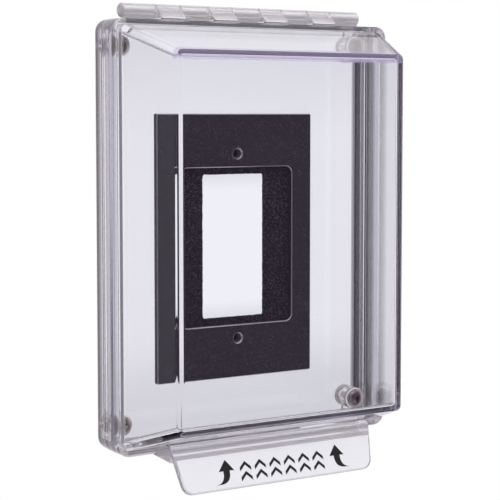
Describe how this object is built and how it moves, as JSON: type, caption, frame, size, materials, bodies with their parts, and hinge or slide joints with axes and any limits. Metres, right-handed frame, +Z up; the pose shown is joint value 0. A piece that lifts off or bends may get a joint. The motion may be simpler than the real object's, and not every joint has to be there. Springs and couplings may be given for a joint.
{
  "type": "flush-mount protective cover",
  "caption": "Clear wall-mounted protective cover: a hinged drafted dome with a lift tab over a framed tray, with a black mounting plate and foam gasket around a device opening.",
  "frame": {"origin": "on the wall plane, midway between the two box-screw holes", "axes": "+X to the user's right, +Y into the wall, +Z up towards the hinge"},
  "size_m": [0.1346, 0.0568, 0.205],
  "materials": {
    "clear_tray": "clear moulded polycarbonate, polished",
    "clear_frame": "clear moulded polycarbonate, polished",
    "clear_cover": "clear moulded polycarbonate, polished",
    "pin_steel": "drawn stainless wire",
    "black_plate": "fine-textured black sheet",
    "black_foam": "open-cell black foam, cut by die",
    "label_white": "white printed film",
    "screw_steel": "bright nickel-plated steel"
  },
  "bodies": {
    "base": {"back_plate": "clear_tray", "base_frame": "clear_frame", "hinge_pin": "pin_steel", "mounting_plate": "black_plate", "foam_gasket": "black_foam", "corner_screw_top_left": "screw_steel", "corner_screw_top_right": "screw_steel", "corner_screw_bottom_left": "screw_steel", "corner_screw_bottom_right": "screw_steel"},
    "cover": {"cover": "clear_cover", "tab_label": "label_white"}
  },
  "joints": [
    {"name": "cover_hinge", "type": "hinge", "parent": "base", "child": "cover", "pos_m": [0, -0.0111, 0.1031], "axis": [-1, 0, 0], "range_deg": [0, 120]}
  ]
}
